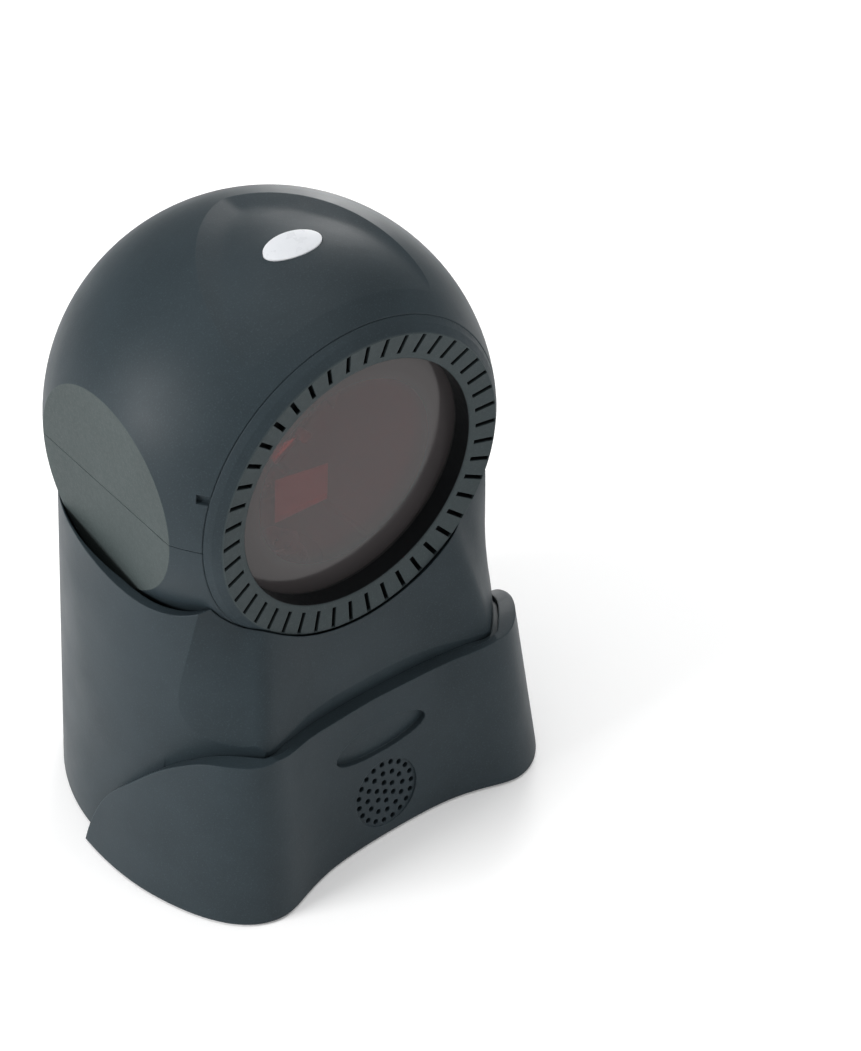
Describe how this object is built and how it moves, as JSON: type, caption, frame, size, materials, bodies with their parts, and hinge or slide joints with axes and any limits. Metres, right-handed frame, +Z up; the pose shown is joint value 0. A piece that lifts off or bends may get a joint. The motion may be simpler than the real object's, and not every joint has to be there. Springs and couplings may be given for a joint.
{
  "type": "barcode scanner",
  "caption": "Desktop presentation scanner: a ball-shaped head with a round recessed window in a slotted ring, tilting in a round stand with a wrap-round front apron and speaker grille.",
  "frame": {"origin": "on the supporting surface, on the stand's vertical axis directly below the ball centre", "axes": "+Z up out of the supporting surface; the window faces -Y (tilted 2.5 degrees down at rest); +X completes a right-handed frame"},
  "size_m": [0.1262, 0.1118, 0.1621],
  "materials": {
    "shell": "fine textured satin charcoal moulding",
    "bezel": "fine textured grey-green charcoal",
    "black_plastic": "plain black moulding",
    "rubber": "matt",
    "window": "smoked red filter, polished",
    "lens": "milky white diffuser",
    "circuit": "green solder mask",
    "chips": "black moulded packages",
    "chassis": "plain grey moulding",
    "mirror": "first-surface mirror",
    "aluminium": "machined",
    "brass": "turned",
    "motor_steel": "pressed can",
    "ballast_steel": "plain",
    "screw_steel": "zinc plated",
    "cloth": "fine woven"
  },
  "bodies": {
    "stand": {"stand_column": "shell", "front_apron": "shell", "ball_saddle": "black_plastic", "base_plate": "black_plastic", "ballast_plate": "ballast_steel", "interface_board": "circuit", "cable_jack": "black_plastic", "speaker": "motor_steel", "speaker_cloth": "cloth", "foot_1": "rubber", "foot_2": "rubber", "foot_3": "rubber", "foot_4": "rubber", "foot_5": "rubber", "base_screw_1": "screw_steel", "base_screw_2": "screw_steel", "base_screw_3": "screw_steel", "base_screw_4": "screw_steel", "clamp_stud": "screw_steel", "clamp_shoe": "black_plastic", "spring_washer": "screw_steel", "clamp_nut": "screw_steel"},
    "head": {"head_upper_shell": "shell", "head_lower_shell": "shell", "shell_screw_left": "screw_steel", "shell_screw_right": "screw_steel", "front_bezel": "bezel", "window_gasket": "rubber", "scan_window": "window", "window_retainer": "black_plastic", "retainer_screw_1": "screw_steel", "retainer_screw_2": "screw_steel", "retainer_screw_3": "screw_steel", "retainer_screw_4": "screw_steel", "status_lens": "lens", "status_board": "circuit", "optics_chassis": "chassis", "pattern_mirror_1": "mirror", "pattern_mirror_2": "mirror", "pattern_mirror_3": "mirror", "main_board": "circuit", "board_components": "chips", "motor_housing": "motor_steel", "laser_block": "aluminium", "laser_barrel": "brass", "collecting_mirror": "mirror", "detector_board": "circuit", "decoder_board": "circuit"},
    "polygon": {"polygon_mirror": "mirror"}
  },
  "joints": [
    {"name": "head_tilt", "type": "hinge", "parent": "stand", "child": "head", "pos_m": [0, 0, 0.1085], "axis": [1, 0, 0], "range_deg": [-20, 12]},
    {"name": "polygon_spin", "type": "hinge", "parent": "head", "child": "polygon", "pos_m": [0.007, 0.00035, 0.10051], "axis": [0, -0.999, -0.0436], "continuous": true}
  ]
}
